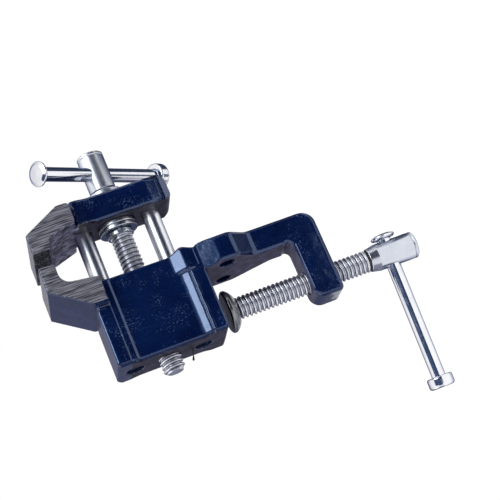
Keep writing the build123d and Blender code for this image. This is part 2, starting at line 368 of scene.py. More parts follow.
def ground_enamel(name, dark, light, low=0.4, high=0.62):
    """Thin paint over ground faces: a dull tone with drawn streaks and worn edges; the tones passed in for
    some faces carry painted shade and a painted reflection.
    """
    s = Shader(name)
    bare = (0.34, 0.34, 0.42)
    streaks = s.noise(1, 4, 0.7, s.stretched((2600, 1500, 230)))
    blotch = s.noise(420, 4, 0.65)
    tone = s.blend(streaks, blotch, 0.6)
    color = s.mix(s.spread(tone, low, high), dark, light)
    worn = s.spread(s.noise(1500, 3, 0.7), 0.48, 0.62)
    color = s.mix(s.math("MULTIPLY", s.spread(s.stored("edge"), 0.2, 0.9), worn), color, bare)
    normal = s.bump(tone, 0.55, 0.00008)
    s.set(IOR=1.45, Specular_IOR_Level=0.25)
    return s.finish(color, s.spread(streaks, 0.3, 0.7, 0.3, 0.46), normal)


def machined_iron():
    """Bare ground iron with short drawn strokes along Z."""
    s = Shader("machined_iron")
    dark, light = (0.055, 0.055, 0.072), (0.38, 0.38, 0.45)
    cuts = s.noise(1, 1, 0.5, s.stretched((4200, 4800, 215)))
    wide = s.noise(1, 2, 0.5, s.stretched((900, 1300, 90)))
    streaks = s.blend(cuts, wide, 0.88)
    color = s.mix(s.spread(streaks, 0.41, 0.61), dark, light)
    normal = s.bump(streaks, 0.6, 0.00005)
    s.set(Metallic=0.6, Specular_IOR_Level=0.4)
    return s.finish(color, s.spread(streaks, 0.3, 0.7, 0.52, 0.36), normal)


def grimy(name, dark, light, grain, smoothest, roughest, **values):
    """A dark tone that varies from place to place."""
    s = Shader(name)
    color = s.mix(s.spread(s.noise(grain), 0.35, 0.65), dark, light)
    s.set(**values)
    return s.finish(color, s.spread(s.noise(900), 0.3, 0.7, smoothest, roughest))


def grip_iron():
    """Dark rough iron with bright specks, on the faces that grip."""
    s = Shader("grip_iron")
    dark, light = (0.012, 0.013, 0.019), (0.5, 0.51, 0.58)
    knurl = s.noise(1500, 3, 0.7)
    color = s.mix(s.spread(knurl, 0.56, 0.66), dark, light)
    normal = s.bump(knurl, 0.7, 0.00015)
    s.set(Metallic=0.4)
    return s.finish(color, s.spread(knurl, 0.3, 0.7, 0.6, 0.35), normal)


def plated(name, color, low, high, streak, strength=0.12):
    """Bright plating with faint drawn lines and painted shade along its outline; streak stretches the
    lines.
    """
    s = Shader(name)
    edge_tint, outline_painted_shade = (0.55, 0.58, 0.68), (0.2, 0.23, 0.32)
    cloudy = tuple(c * 0.9 for c in color)
    lines = s.noise(1, 3, 0.6, s.stretched(streak))
    clouds = s.noise(300, 3)
    tint = s.mix(s.spread(clouds, 0.3, 0.7), cloudy, color)
    # Painted shade: the colour darkens towards the outline as the camera sees it.
    tint = s.mix(s.grazing(0.3, 0.7), tint, outline_painted_shade)
    normal = s.bump(lines, strength, 0.00002)
    s.set(Metallic=1, Specular_Tint=(*edge_tint, 1))
    return s.finish(tint, s.spread(lines, 0.35, 0.65, low, high), normal)


def zinc_thread(name, streak):
    """Zinc on a rolled thread, with fine lines along the thread: the light crests and roots are painted
    highlights, the dark flanks are painted shade, with a little wear mixed in.
    """
    s = Shader(name)
    dark, light = (0.07, 0.07, 0.085), (0.69, 0.71, 0.78)
    worn = s.noise(900, 4, 0.7)
    lines = s.noise(1, 2, 0.6, s.stretched(streak))
    rough = s.math("ADD", worn, lines)
    middle = s.math("SUBTRACT", s.math("MULTIPLY", s.stored("crest"), 2), 0.9)
    flank = s.math("SUBTRACT", 1, s.math("ABSOLUTE", middle, 0))
    flank_shade_and_wear = s.math("ADD", flank, s.math("MULTIPLY", rough, 0.35))
    # Painted highlights on the crests and roots, painted shade on the flanks.
    color = s.mix(s.spread(flank_shade_and_wear, 0.75, 1.3), light, dark)
    s.set(Metallic=1)
    return s.finish(color, s.spread(worn, 0.3, 0.7, 0.42, 0.26), s.bump(rough, 0.35, 0.00004))


def pad_steel():
    """Plated steel, nearly black on the pad's top face."""
    s = Shader("pad_steel")
    dark, light = (0.006, 0.006, 0.008), (0.3, 0.31, 0.33)
    dull = tuple(c * 0.7 for c in light)
    rim_end, rim_start = pad_high.z - 0.42 * MM, pad_high.z - 0.22 * MM
    split = s.add("ShaderNodeSeparateXYZ")
    s.link(s.place, split.inputs[0])
    below = s.spread(split.outputs["Z"], rim_end, rim_start, 1, 0)
    worn = s.noise(600)
    color = s.mix(below, dark, s.mix(s.spread(worn, 0.3, 0.7), dull, light))
    s.set(Metallic=0.95)
    return s.finish(color, s.spread(worn, 0.3, 0.7, 0.22, 0.36), s.bump(worn, 0.2, 0.00004))


ENAMEL = enamel()
# Ground enamel: thin streaked paint whose light purple grey is partly a painted reflection, the enamel's
# sheen at a grazing angle.
GROUND_WITH_SHEEN = ground_enamel("ground_enamel", (0.01, 0.01, 0.026), (0.116, 0.103, 0.203))
# Painted shade: a darker copy of the ground enamel for back faces that lie in shade.
BACK_PAINTED_SHADE = ground_enamel("back_enamel_painted_shade", (0.004, 0.004, 0.012), (0.05, 0.048, 0.09), 0.44, 0.6)
THROAT = ground_enamel("throat_enamel", (0.006, 0.006, 0.022), (0.4, 0.4, 0.6), 0.46, 0.57)
MACHINED = machined_iron()
GRIP = grip_iron()
PLATING = plated("bright_plating", (0.89, 0.9, 0.95), 0.07, 0.15, (500, 500, 500))
TURNED_Y = plated("turned_plating", (0.88, 0.91, 0.99), 0.3, 0.38, (60, 5200, 60), 0.08)
TURNED_Z = plated("turned_plating_low", (0.68, 0.71, 0.79), 0.2, 0.28, (60, 60, 5200), 0.08)
ROD_PLATING = plated("rod_plating", (0.93, 0.95, 0.99), 0.26, 0.36, (2500, 60, 2500), 0.08)
ZINC_Y = zinc_thread("zinc_thread", (60, 6500, 60))
ZINC_Z = zinc_thread("zinc_thread_low", (60, 60, 6500))
WASHER = plated("washer_zinc", (0.72, 0.74, 0.78), 0.2, 0.36, (900, 4000, 900))
PAD = pad_steel()
DRIP = grimy("drip_paint", (0.001, 0.002, 0.01), (0.006, 0.01, 0.035), 1800, 0.3, 0.5, IOR=1.5)
SOOT = grimy("soot", (0.01, 0.009, 0.01), (0.06, 0.055, 0.055), 1400, 0.4, 0.6, Metallic=0.3)


# Castings: a fine copy of the node's mesh, with soft painted edges and crisp machined faces

voxel = 0.22 * MM
weld_reach = 0.002 * MM
soft_steps = 44
soften = 0.55
restore = -0.58
edge_range = (0.02, 0.1)
machined_skin = 0.12 * MM
machined_freedom = 0.12
crisp_zone = 0.8 * MM
bore_margin = 0.1 * MM
painted_freedom = 0.9
lump_height = 0.03 * MM
lump_grain, fine_lump_grain, fine_lump_share = 210, 520, 0.6
paint_creep = 0.55 * MM
paint_grain = 650
flat_reach = 0.06 * MM
flat_facing, area_facing = 0.9, 0.75
cast_materials = (ENAMEL, MACHINED, GRIP, GROUND_WITH_SHEEN, THROAT, BACK_PAINTED_SHADE)


def paint_faces(mesh, materials, slots):
    """Gives a mesh its materials; slots holds one material number per face."""
    mesh.materials.clear()
    for material in materials:
        mesh.materials.append(material)
    mesh.polygons.foreach_set("material_index", slots)
    smooth(mesh)


def fine_copy(name, node):
    piece = linked(name, nodes[node].data.copy())
    weld = piece.modifiers.new("weld", "WELD")
    weld.merge_threshold = weld_reach
    remesh = piece.modifiers.new("remesh", "REMESH")
    remesh.mode = "VOXEL"
    remesh.voxel_size = voxel
    remesh.use_smooth_shade = True
    mesh = applied(piece)
    bpy.data.objects.remove(piece)
    mesh.name = name
    return mesh


def ramp(value, start, end):
    """0 before start, 1 after end, and smooth between them."""
    t = np.clip((value - start) / (end - start), 0, 1)
    return t * t * (3 - 2 * t)


class Neighbours:
    """Means over the neighbours of each point of a mesh."""

    def __init__(self, mesh):
        ends = np.zeros(len(mesh.edges) * 2, int)
        mesh.edges.foreach_get("vertices", ends)
        self.first, self.second = ends[0::2], ends[1::2]
        self.count = len(mesh.vertices)
        self.degree = np.bincount(ends, minlength=self.count)

    def mean(self, values):
        ahead = np.bincount(self.first, values[self.second], self.count)
        behind = np.bincount(self.second, values[self.first], self.count)
        return (ahead + behind) / self.degree

    def mean_points(self, points):
        return np.column_stack([self.mean(points[:, k]) for k in range(3)])


def move_points(mesh, points):
    mesh.vertices.foreach_set("co", points.ravel())
    mesh.update()


def softened(points, neighbours, weight, held):
    """Smooths the points without shrinking them; held are (axis, place, members) of flat faces."""
    for step in range(2 * soft_steps):
        share = soften if step % 2 == 0 else restore
        points = points + share * weight[:, None] * (neighbours.mean_points(points) - points)
        for axis, place, members in held:
            points[members, axis] = place
    return points


def store_bends(mesh, points, normals, neighbours):
    """Stores how sharp each edge and each hollow is, for wear, and for painted shade with soiling in the
    hollows.
    """
    bend = -np.einsum("ij,ij->i", neighbours.mean_points(points) - points, normals) / voxel
    for _ in range(3):
        bend = (bend + neighbours.mean(bend)) / 2
    low, high = edge_range
    for name, sign in (("edge", 1), ("hollow", -1)):
        layer = mesh.attributes.new(name, "FLOAT", "POINT")
        layer.data.foreach_set("value", np.clip((sign * bend - low) / (high - low), 0, 1))


def cast_lumps(points):
    return np.array([
        noise.noise(Vector(p) * lump_grain) + fine_lump_share * noise.noise(Vector(p) * fine_lump_grain)
        for p in points
    ])


def assign_materials(mesh, flats, areas):
    """Gives each face its material, with a ragged border of paint round the machined faces."""
    centres = rows_of(mesh.polygons, "center")
    facing = rows_of(mesh.polygons, "normal")
    slots = np.zeros(len(mesh.polygons), int)
    for material, low, high, direction in areas:
        turned = facing @ np.array(direction) > area_facing
        slots[within(centres, low, high) & turned] = cast_materials.index(material)
    for axis, place, low, high in flats:
        flat = within(centres, low, high) & (np.abs(centres[:, axis] - place) < flat_reach)
        flat &= np.abs(facing[:, axis]) > flat_facing
        for index in np.nonzero(flat)[0]:
            shift = noise.noise_vector(Vector(centres[index]) * paint_grain) * paint_creep
            spot = centres[index] + np.array(shift)
            flat[index] = within(spot[None], low, high)[0]
        slots[flat] = cast_materials.index(GRIP if axis == 1 else MACHINED)
    paint_faces(mesh, cast_materials, slots)


def cast_mesh(name, node, flats, bores, areas, shape, relief=None):
    """flats are (axis, place, low corner, high corner) of machined faces, bores are (point, axis, radius)
    and areas are (material, low corner, high corner, direction) of faces under thinner paint, some darkened
    as painted shade and some lightened as a painted reflection."""
    mesh = fine_copy(name, node)
    neighbours = Neighbours(mesh)
    points = rows_of(mesh.vertices, "co")
    weight = np.ones(len(points))
    held = []
    for axis, place, low, high in flats:
        inside = within(points, low, high)
        near = np.abs(points[:, axis] - place)
        held.append((axis, place, inside & (near < machined_skin)))
        freedom = machined_freedom + (1 - machined_freedom) * np.clip(near[inside] / crisp_zone, 0, 1)
        weight[inside] = np.minimum(weight[inside], freedom)
    points = shape(points)
    for point, axis, radius in bores:
        weight[about_axis(points, point, axis)[1] < radius + bore_margin] = 0
    points = softened(points, neighbours, weight, held)
    move_points(mesh, points)
    normals = rows_of(mesh.vertices, "normal")
    store_bends(mesh, points, normals, neighbours)
    height = cast_lumps(points) * lump_height * (weight > painted_freedom)
    points = points + normals * height[:, None]
    if relief:
        points = relief(points)
    move_points(mesh, points)
    assign_materials(mesh, flats, areas)
    return mesh


y_bores = [
    ((0, 0, upper_rod_z), along_y, rod_radius),
    ((0, 0, lower_rod_z), along_y, rod_radius),
    (lead_origin, along_y, thread_radius),
]
fixed_grip = body_low.y
moving_grip = jaw_high.y
wing_drop = 14.4 * MM
wing_low = jaw_top - wing_drop
flat_margin = 1 * MM


def jaw_flats(grip, low_y, high_y, above):
    """The machined faces of one jaw: both sides, the top and the gripping face."""
    low = (-far, low_y, above)
    high = (far, high_y, far)
    return [
        (0, jaw_half, (jaw_half - crisp_zone, low_y, above), high),
        (0, -jaw_half, low, (crisp_zone - jaw_half, high_y, far)),
        (2, jaw_top, (-far, low_y, jaw_top - crisp_zone), high),
        (1, grip, (-far, grip - crisp_zone, above), (far, grip + crisp_zone, far)),
    ]


# The block's flank as (height, half width) in millimetres: packed, as photographed, and at the front
packed_flank = [
    (0, 7.5), (0.1, 8.00), (0.38, 8.42), (0.8, 8.7), (1.3, 8.8), (4.4, 8.8), (6.8, 7.6), (25, 7.6),
    (27.4, 8.8), (29.7, 8.8), (30.2, 8.7), (30.62, 8.42), (30.9, 8.00), (31, 7.5),
]
foot_corner = [(0, 8.1), (0.1, 8.38), (0.38, 8.66)]
high_ridge = [
    (24.9, 7.6), (25.2, 7.7), (25.9, 8.1), (27.2, 8.24), (27.7, 8.5), (28.6, 8.64), (29.7, 8.72),
    (30.2, 8.72), (30.62, 8.64), (30.9, 8.36), (31, 8.1),
]
soft_ridge = [(0.8, 8.75), (4.5, 8.8), (4.9, 8.66), (5.6, 8.27), (6.3, 7.93), (7, 7.71), (7.8, 7.6)]
flared_ridge = [(0.8, 8.8), (3, 9.1), (4.4, 9.35), (5, 9.2), (7.8, 7.84), (8.5, 7.66), (9.2, 7.6)]
shaped_flank = foot_corner + soft_ridge + high_ridge
front_flank = foot_corner + flared_ridge + high_ridge

# Places on the body casting
body_front = body_low.y + 7.1 * MM
block_top = 31 * MM
block_margin = 0.2 * MM
ridge_low = 4.4 * MM
spine_back = body_front + 6.6 * MM


def half_width(profile, z):
    levels, widths = zip(*profile)
    return np.interp(z / MM, levels, widths) * MM


def flank_change(out, y, z):
    """How far the block's flank moves outwards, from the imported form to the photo's."""
    skin_start, skin_full, reach = 2 * MM, 0.5 * MM, 0.4 * MM
    flare_full, flare_end = 5.2 * MM, 5.9 * MM
    packed = half_width(packed_flank, z)
    flare = 1 - ramp(y - body_front, flare_full, flare_end)
    wanted = half_width(shaped_flank, z) * (1 - flare) + half_width(front_flank, z) * flare
    near = np.clip((out - packed + skin_start) / (skin_start - skin_full), 0, 1) * (out < packed + reach)
    block = (z > 0) & (z < block_top + block_margin) & (y > body_front - block_margin)
    return np.where(block, near * (wanted - packed), 0)


def front_bulge(out, y, z):
    """How far the block's front bulges forwards beside the low ridge."""
    height, spread, depth = 1.1 * MM, 2.2 * MM, 2 * MM
    inner, outer = 5 * MM, 8 * MM
    bulge = np.exp(-((z - ridge_low) / spread) ** 2) * ramp(out, inner, outer)
    return height * bulge * np.clip((body_front + depth - y) / depth, 0, 1) * (z > 0)


def ear_limit(y, z):
    """The widest half width that the ears may have under their gentle shoulder."""
    slope_top, slope_length, slope_start, slope_rise = 0.4 * MM, 5.2 * MM, 8.75 * MM, 1.75 * MM
    ear_top, ear_back = 1.3 * MM, body_front + 7 * MM
    ear = (z < ear_top) & (z > slope_top - slope_length) & (y < ear_back)
    limit = slope_start + slope_rise * np.clip((slope_top - z) / slope_length, 0, 1)
    return np.where(ear, limit, np.inf)


def top_swell(y, z):
    """How far the block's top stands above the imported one, behind the fixed jaw."""
    height, depth = 0.45 * MM, 2 * MM
    start, full, margin = body_front + 7.4 * MM, body_front + 9 * MM, 0.3 * MM
    near_top = ramp(z, block_top - depth, block_top) * (z < block_top + margin)
    return height * near_top * ramp(y, start, full)


def spine_swell(y, z):
    """How far the spine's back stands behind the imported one."""
    height, spine_top, spine_foot, margin = 0.35 * MM, -0.5 * MM, -24 * MM, 0.3 * MM
    start, full = spine_back - 1.2 * MM, spine_back - 0.2 * MM
    spine = (z < spine_top) & (z > spine_foot) & (y < spine_back + margin)
    return height * ramp(y, start, full) * spine


def shaped_body(points):
    """Rounds and flares the ridges, runs the ears out gently and fills the block's top and the spine."""
    points = points.copy()
    side = np.sign(points[:, 0])
    out = np.abs(points[:, 0])
    out = out + flank_change(out, points[:, 1], points[:, 2])
    points[:, 1] -= front_bulge(out, points[:, 1], points[:, 2])
    points[:, 0] = side * np.minimum(out, ear_limit(points[:, 1], points[:, 2]))
    points[:, 2] += top_swell(points[:, 1], points[:, 2])
    points[:, 1] += spine_swell(points[:, 1], points[:, 2])
    return points


def body_relief(points):
    """A fine groove along the low ridge, with a small bead below it."""
    groove_depth, groove_half = 0.34 * MM, 0.26 * MM
    bead_height, bead_half, bead_level = 0.14 * MM, 0.36 * MM, 3.75 * MM
    flank_low, flank_high, flank_width = 2.5 * MM, 6 * MM, 7.9 * MM
    start, full = body_front + 5 * MM, body_front + 5.8 * MM
    wander_grain, wander_row, wander_reach = 420, 3, 0.16 * MM
    points = points.copy()
    out, y, z = np.abs(points[:, 0]), points[:, 1], points[:, 2]
    wander = np.array([noise.noise(Vector((0, v * wander_grain, wander_row))) for v in y]) * wander_reach
    flank = (out > flank_width) & (z > flank_low) & (z < flank_high)
    groove = groove_depth * np.exp(-((z - ridge_low - wander) / groove_half) ** 2)
    bead = bead_height * np.exp(-((z - bead_level - wander) / bead_half) ** 2)
    points[:, 0] += np.sign(points[:, 0]) * np.where(flank, ramp(y, start, full) * (bead - groove), 0)
    return points


def make_body():
    jaw_heel = body_front + 6.95 * MM
    block_start = -0.5 * MM
    flats = jaw_flats(fixed_grip, fixed_grip - flat_margin, jaw_heel, wing_low)
    bores = y_bores + [(clamp_origin, along_z, thread_radius)]
    areas = [
        (GROUND_WITH_SHEEN, (-far, -far, -far), (far, 0, 0), along_y),
        (GROUND_WITH_SHEEN, (-far, -far, -far), (far, far, 0), along_z),
        (THROAT, (-far, -far, wing_low), (far, 0, far), (0, -1, 0)),
        (BACK_PAINTED_SHADE, (-far, block_start, 0), (far, far, wing_low), along_y),
    ]
    mesh = cast_mesh("vise_body", "body_casting", flats, bores, areas, shaped_body, body_relief)
    new_object("vise_body", mesh, "body", "body_casting")


def make_drip():
    """A thread of dried paint with a bead at its end, off the back face by the lower rod's bore."""
    start = Vector((-0.2 * MM, body_high.y - 0.1 * MM, lower_rod_z + 3.1 * MM))
    direction = (0, 0.942, 0.334)
    outline = [
        (0, 0), (0, 0.26 * MM), (0.5 * MM, 0.17 * MM), (1.4 * MM, 0.14 * MM), (2.1 * MM, 0.16 * MM),
        (2.6 * MM, 0.28 * MM), (3 * MM, 0.31 * MM), (3.3 * MM, 0.24 * MM), (3.45 * MM, 0),
    ]
    mesh = turned_mesh("paint_drip", outline, start, direction, 24)
    mesh.materials.append(DRIP)
    drip = linked("paint_drip", mesh)
    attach(drip, "body")


def shaped_block(points):
    """The moving block's flanks swell towards the jaw and fall away towards their foot."""
    block_half, skin, top_margin = 7.8 * MM, 0.6 * MM, 1.4 * MM
    swell_height, swell_start = 1.3 * MM, jaw_low.z + 22.4 * MM
    fall_depth, fall_end = 1.3 * MM, jaw_low.z + 6.2 * MM
    slope = 3.6 * MM
    z = points[:, 2]
    flank = (np.abs(np.abs(points[:, 0]) - block_half) < skin) & (z < upper_rod_z + top_margin)
    swell = swell_height * np.clip((z - swell_start) / slope, 0, 1)
    fall = fall_depth * np.clip((fall_end - z) / slope, 0, 1)
    points = points.copy()
    points[flank, 0] += (np.sign(points[:, 0]) * (swell - fall))[flank]
    return points


def make_jaw():
    flats = jaw_flats(moving_grip, jaw_low.y - flat_margin, moving_grip + flat_margin, wing_low)
    areas = [
        (THROAT, (-far, -far, wing_low), (far, far, far), along_y),
        (BACK_PAINTED_SHADE, (-far, -far, -far), (far, far, wing_low), along_y),
    ]
    mesh = cast_mesh("sliding_jaw", "moving_jaw", flats, y_bores, areas, shaped_block)
    new_object("sliding_jaw", mesh, "jaw", "moving_jaw")


# Screws: turned outlines with a helical thread cut into their shanks

thread_step = 0.06 * MM
thread_run_out = 1 * MM
thread_gap = 0.05 * MM
crest_power = 0.75


def thread_cut(start, end, fade):
    """A radius_of for turned_mesh that cuts the thread and fades it out at both ends."""
    def radius_of(along, turn, radius):
        if radius < thread_radius * 0.9 or not start < along < end:
            return radius
        phase = along / thread_pitch - turn / (2 * math.pi)
        ridge = (0.5 + 0.5 * math.cos(2 * math.pi * phase)) ** crest_power
        cut = thread_depth * (1 - ridge)
        edge = min(1, (along - start) / fade, (end - along) / fade)
        return radius - cut * edge
    return radius_of


def threaded_outline(start, end):
    count = int((end - start) / thread_step)
    return [(start + (end - start) * k / count, thread_radius) for k in range(count + 1)]


def head_outline(end, radius):
    """A turned head from its end face on: a small chamfer and a thin groove."""
    chamfer, chamfer_length = 0.35 * MM, 0.3 * MM
    groove_start, groove_middle, groove_end, groove_depth = 0.8 * MM, 1 * MM, 1.2 * MM, 0.18 * MM
    return [
        (end, 0), (end, radius - chamfer), (end + chamfer_length, radius), (end + groove_start, radius),
        (end + groove_middle, radius - groove_depth), (end + groove_end, radius),
    ]


def mark_crests(mesh, origin, axis):
    """Stores how near each point is to the crest, for painted shade on the thread's flanks."""
    radial = about_axis(rows_of(mesh.vertices, "co"), origin, axis)[1]
    crest = np.clip((radial - thread_radius + thread_depth) / thread_depth, 0, 1)
    layer = mesh.attributes.new("crest", "FLOAT", "POINT")
    layer.data.foreach_set("value", crest)


def shade_by_place(mesh, origin, axis, outside, zones):
    """Shades the faces by their place along the axis: zones are (low, high, material)."""
    along = (rows_of(mesh.polygons, "center") - np.array(origin)) @ np.array(axis)
    slots = np.zeros(len(mesh.polygons), int)
    for index, (low, high, _) in enumerate(zones, 1):
        slots[(along > low) & (along < high)] = index
    paint_faces(mesh, [outside] + [zone[2] for zone in zones], slots)


def cut_round_hole(piece, centre, axis, head_radius):
    """Cuts the cross hole of a bar, with a small countersink at both mouths."""
    radius, length, mouth = 2.1 * MM, 8 * MM, 0.35 * MM
    rim = head_radius - mouth
    outline = [
        (-length, 0), (-length, radius + length - rim), (-rim, radius), (rim, radius),
        (length, radius + length - rim), (length, 0),
    ]
    cutter = linked("cutter", turned_mesh("cutter", outline, centre, axis, sides=64))
    boolean = piece.modifiers.new("cross_hole", "BOOLEAN")
    boolean.operation = "DIFFERENCE"
    boolean.solver = "EXACT"
    boolean.object = cutter
    applied(piece)
    bpy.data.objects.remove(cutter)


def make_screw(name, node, outline, radius_of, origin, axis, bar_node, slide, head_radius, outside, zones):
    """A threaded screw that rides on the body of its own name, with the cross hole of its bar."""
    mesh = turned_mesh(name, outline, origin, axis, 96, radius_of)
    piece = new_object(name, mesh, name, node)
    low, high, _ = span_along(bar_node, origin, axis)
    hole = Vector(origin) + Vector(axis) * (low + high) / 2
    cut_round_hole(piece, hole, joint_axes[slide], head_radius)
    mark_crests(piece.data, origin, axis)
    shade_by_place(piece.data, origin, axis, outside, zones)


def make_lead_screw():
    head_radius = 3.8 * MM
    collar_radius = lead_high.x
    collar_back = jaw_low.y - 0.15 * MM
    collar_front = collar_back - 1.6 * MM
    head_start = collar_front - 0.9 * MM
    groove = thread_radius - 0.55 * MM
    tip_start, tip_radius, tip_end_radius = lead_high.y - 0.1 * MM, 2.25 * MM, 2.05 * MM
    outline = head_outline(lead_low.y, head_radius) + [
        (head_start, head_radius), (collar_front, collar_radius), (collar_back, collar_radius),
        (collar_back, thread_radius), (clip_low.y, thread_radius), (clip_low.y, groove),
        (clip_high.y, groove), (clip_high.y, thread_radius - 0.1 * MM),
    ]
    corners = {1: 0.15 * MM, 2: 0.15 * MM, 6: 0.5 * MM, 7: 0.25 * MM, 8: 0.2 * MM}
    thread_start = clip_high.y + thread_gap
    thread_end = lead_high.y - 0.9 * MM
    outline = rounded(outline, corners) + threaded_outline(thread_start, thread_end)
    outline += [(tip_start, tip_radius), (lead_high.y, tip_end_radius), (lead_high.y, 0)]
    radius_of = thread_cut(thread_start, thread_end + thread_run_out, 0.5 * thread_pitch)
    zones = [(washers_front, far, ZINC_Y)]
    make_screw("main_screw", "lead_screw", outline, radius_of, lead_origin, along_y,
               "lead_handle_bar", "main_handle_slide", head_radius, TURNED_Y, zones)


def make_clamp_screw():
    head_radius = screw_high.x
    head_top = screw_low.z + 11.7 * MM
    cone_radius = head_radius * 0.86
    undercut_low = head_top + 2.6 * MM
    undercut_high = undercut_low + 0.7 * MM
    undercut_radius = thread_radius - 0.45 * MM
    thread_top = pad_low.z - 0.3 * MM
    neck_radius, tip_radius, tip_foot = 1 * MM, 1.5 * MM, pad_high.z - 1.96 * MM
    outline = head_outline(screw_low.z, head_radius) + [
        (head_top, head_radius), (undercut_low, cone_radius), (undercut_low, undercut_radius),
        (undercut_high, undercut_radius), (undercut_high, thread_radius - 0.1 * MM),
    ]
    outline = rounded(outline, {1: 0.15 * MM, 2: 0.15 * MM, 6: 0.7 * MM, 7: 0.3 * MM})
    outline += threaded_outline(undercut_high + thread_gap, thread_top - 0.3 * MM)
    outline += [
        (thread_top, thread_radius - 0.5 * MM), (thread_top, neck_radius), (tip_foot, neck_radius),
        (tip_foot, tip_radius), (screw_high.z, tip_radius), (screw_high.z, 0),
    ]
    radius_of = thread_cut(undercut_high, thread_top + thread_run_out, 0.6 * thread_pitch)
    zones = [(undercut_high, far, ZINC_Z), (undercut_low - 0.02 * MM, undercut_high, SOOT)]
    make_screw("bench_screw", "clamp_screw", outline, radius_of, clamp_origin, along_z,
               "clamp_handle_bar", "bench_handle_slide", head_radius, TURNED_Z, zones)


# Turned small parts: rods, washers, clip, pad, bars and knobs

def turned_piece(name, outline, corners, origin, axis, material, body, node):
    mesh = turned_mesh(name, rounded(outline, corners), origin, axis)
    mesh.materials.append(material)
    return new_object(name, mesh, body, node)


def make_rod(name, node):
    """A bright rod with a sooty sawn end."""
    low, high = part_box(node)
    radius = (high.z - low.z) / 2
    origin = (0, 0, (high.z + low.z) / 2)
    outline = [(low.y, 0), (low.y, radius), (high.y, radius), (high.y, 0)]
    corners = {1: 0.3 * MM, 2: 0.45 * MM}
    rod = turned_piece(name, outline, corners, origin, along_y, ROD_PLATING, "jaw", node)
    shade_by_place(rod.data, origin, along_y, ROD_PLATING, [(high.y - 0.5 * MM, far, SOOT)])


def ring_mesh(name, loop, sides, start=0, sweep=2 * math.pi):
    """A closed section swept round the main screw, all the way or over an open arc with capped ends."""
    axis = Vector(along_y)
    side = Vector((1, 0, 0))
    other = axis.cross(side)
    origin = Vector(lead_origin)
    loop = supported(loop)[:-1]
    closed = sweep >= 2 * math.pi - 1e-6
    rings = sides if closed else sides + 1
    points, faces = [], []
    for k in range(rings):
        turn = start + sweep * k / sides
        out = side * math.cos(turn) + other * math.sin(turn)
        points += [origin + axis * along + out * radius for along, radius in loop]
    size = len(loop)
    for k in range(sides):
        n = (k + 1) % rings
        for i in range(size):
            j = (i + 1) % size
            faces.append((k * size + i, n * size + i, n * size + j, k * size + j))
    if not closed:
        faces.append(tuple(range(size)))
        faces.append(tuple(reversed(range(sides * size, (sides + 1) * size))))
    return smooth_mesh(name, points, faces)


def ring_loop(low, high, inner, outer, corners):
    """A ring's section, with rounded outer corners 2 and 3."""
    return rounded([(high, inner), (low, inner), (low, outer), (high, outer), (high, inner)], corners)


def make_washer(name, node):
    low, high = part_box(node)
    outer = (high.x - low.x) / 2
    inner = thread_radius + 0.03 * MM
    loop = ring_loop(low.y, high.y, inner, outer, {2: 0.3 * MM, 3: 0.35 * MM})
    mesh = ring_mesh(name, loop, 128)
    mesh.materials.append(WASHER)
    new_object(name, mesh, "jaw", node)


def make_clip():
    """A split ring with bevelled ends; its gap faces -X."""
    inner = thread_radius - 0.55 * MM
    outer = (clip_high.z - clip_low.z) / 2
    gap_width = 1.3 * MM
    half_gap = 0.5 * gap_width / outer
    loop = ring_loop(clip_low.y, clip_high.y, inner, outer, {2: 0.25 * MM, 3: 0.35 * MM})
    mesh = ring_mesh("clip_ring", loop, 96, math.pi + half_gap, 2 * math.pi - 2 * half_gap)
    mesh.materials.append(WASHER)
    piece = new_object("clip_ring", mesh, "main_screw", "retaining_clip")
    bevel = piece.modifiers.new("bevel", "BEVEL")
    bevel.width = 0.12 * MM
    bevel.segments = 2
    bevel.limit_method = "ANGLE"
    bevel.angle_limit = math.radians(60)
    applied(piece)


def make_pad():
    """A shallow dish with a pocket that holds the screw's tip."""
    top, low, radius = pad_high.z, pad_low.z, pad_high.x
    pocket_top, pocket_foot = top - 0.7 * MM, top - 2.02 * MM
    pocket_radius, mouth_radius = 1.56 * MM, 1.06 * MM
    rim_top, rim_foot, rim_drop = top - 0.4 * MM, top - 1.1 * MM, 0.9 * MM
    outline = [
        (pocket_top, 0), (pocket_top, pocket_radius), (pocket_foot, pocket_radius),
        (pocket_foot, mouth_radius), (low, mouth_radius), (low, radius - 2 * MM),
        (rim_foot - rim_drop, radius - 0.75 * MM), (rim_foot, radius), (rim_top, radius),
        (top, radius - 0.45 * MM), (top, 0),
    ]
    corners = {5: 0.5 * MM, 6: 1.2 * MM, 7: 0.5 * MM, 8: 0.3 * MM, 9: 0.25 * MM}
    turned_piece("swivel_pad", outline, corners, clamp_origin, along_z,
                 PAD, "pad", "clamp_pad")


